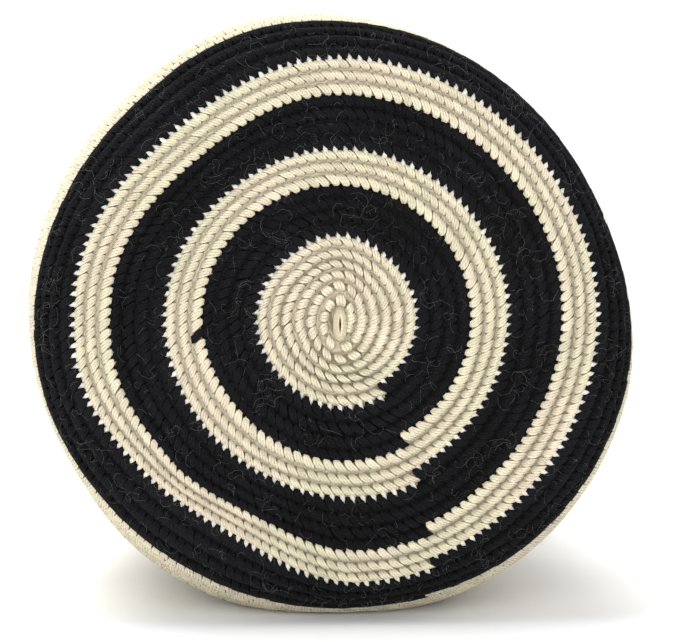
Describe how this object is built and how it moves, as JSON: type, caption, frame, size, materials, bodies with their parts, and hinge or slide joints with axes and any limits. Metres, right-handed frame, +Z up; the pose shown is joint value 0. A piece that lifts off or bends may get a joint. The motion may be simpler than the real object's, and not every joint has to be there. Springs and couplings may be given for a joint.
{
  "type": "crocheted mochila bag",
  "caption": "Round-based crocheted shoulder bag lying on its side, open mouth with laced drawstring and tassels, flat woven strap behind it.",
  "frame": {"origin": "on the floor below the middle of the bag and its strap as they lie", "axes": "+Z up, the round base faces -Y, the mouth opens towards +Y, where the strap lies"},
  "size_m": [0.2552, 0.686, 0.2528],
  "materials": {
    "cream_yarn": "cream crochet yarn, matt, with black yarn rings on the base",
    "strap_yarn": "cream woven band, matt",
    "cord_yarn": "cream twisted cord, matt",
    "tassel_yarn": "cream loose yarn, matt",
    "binding_yarn": "black wound yarn, matt"
  },
  "bodies": {
    "root": {"bag_body": "cream_yarn", "shoulder_strap": "strap_yarn", "drawstring": "cord_yarn", "upper_tassel": "tassel_yarn", "lower_tassel": "tassel_yarn", "upper_tassel_binding": "binding_yarn", "lower_tassel_binding": "binding_yarn"}
  },
  "joints": []
}
